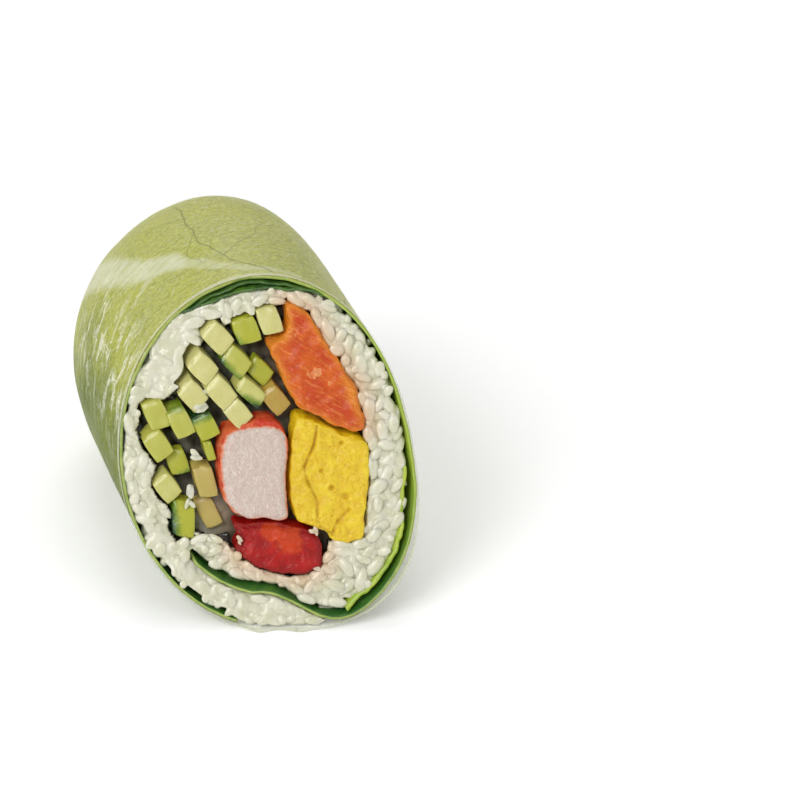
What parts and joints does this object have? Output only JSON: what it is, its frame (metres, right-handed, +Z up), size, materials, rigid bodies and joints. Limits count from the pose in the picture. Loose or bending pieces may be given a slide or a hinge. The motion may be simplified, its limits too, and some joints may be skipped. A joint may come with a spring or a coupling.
{
  "type": "salmon maki roll half",
  "caption": "Half of a thick salmon roll in a lettuce leaf and rice paper, cut on a slant, showing rice, salmon, egg, crab stick, tomato and cucumber sticks.",
  "frame": {"origin": "middle of the bounding box's underside, on the flat spot that the roll rests on", "axes": "+Y along the roll from the slanted cut to the closed end, +Z up, +X to the right when looking along +Y at the cut"},
  "size_m": [0.0624, 0.1082, 0.0663],
  "materials": {
    "rice_paper": "moist, see-through",
    "lettuce_leaf": "moist",
    "lettuce_fold": "moist",
    "rice": "sticky, half clear",
    "salmon": "moist, with pale lines",
    "egg": "spongy",
    "crab_stick": "fibrous, red rim",
    "tomato": "wet",
    "cucumber": "crisp, moist"
  },
  "bodies": {
    "root": {"rice_paper": "rice_paper", "lettuce_leaf": "lettuce_leaf", "lettuce_fold_top": "lettuce_fold", "lettuce_fold_side": "lettuce_fold", "rice": "rice", "salmon": "salmon", "egg": "egg", "crab_stick": "crab_stick", "tomato": "tomato", "cucumber_01": "cucumber", "cucumber_02": "cucumber", "cucumber_03": "cucumber", "cucumber_04": "cucumber", "cucumber_05": "cucumber", "cucumber_06": "cucumber", "cucumber_07": "cucumber", "cucumber_08": "cucumber", "cucumber_09": "cucumber", "cucumber_10": "cucumber", "cucumber_11": "cucumber", "cucumber_12": "cucumber", "cucumber_13": "cucumber", "cucumber_14": "cucumber", "cucumber_15": "cucumber", "cucumber_16": "cucumber", "cucumber_17": "cucumber", "cucumber_18": "cucumber", "cucumber_19": "cucumber", "cucumber_20": "cucumber", "cucumber_21": "cucumber", "cucumber_22": "cucumber"}
  },
  "joints": []
}
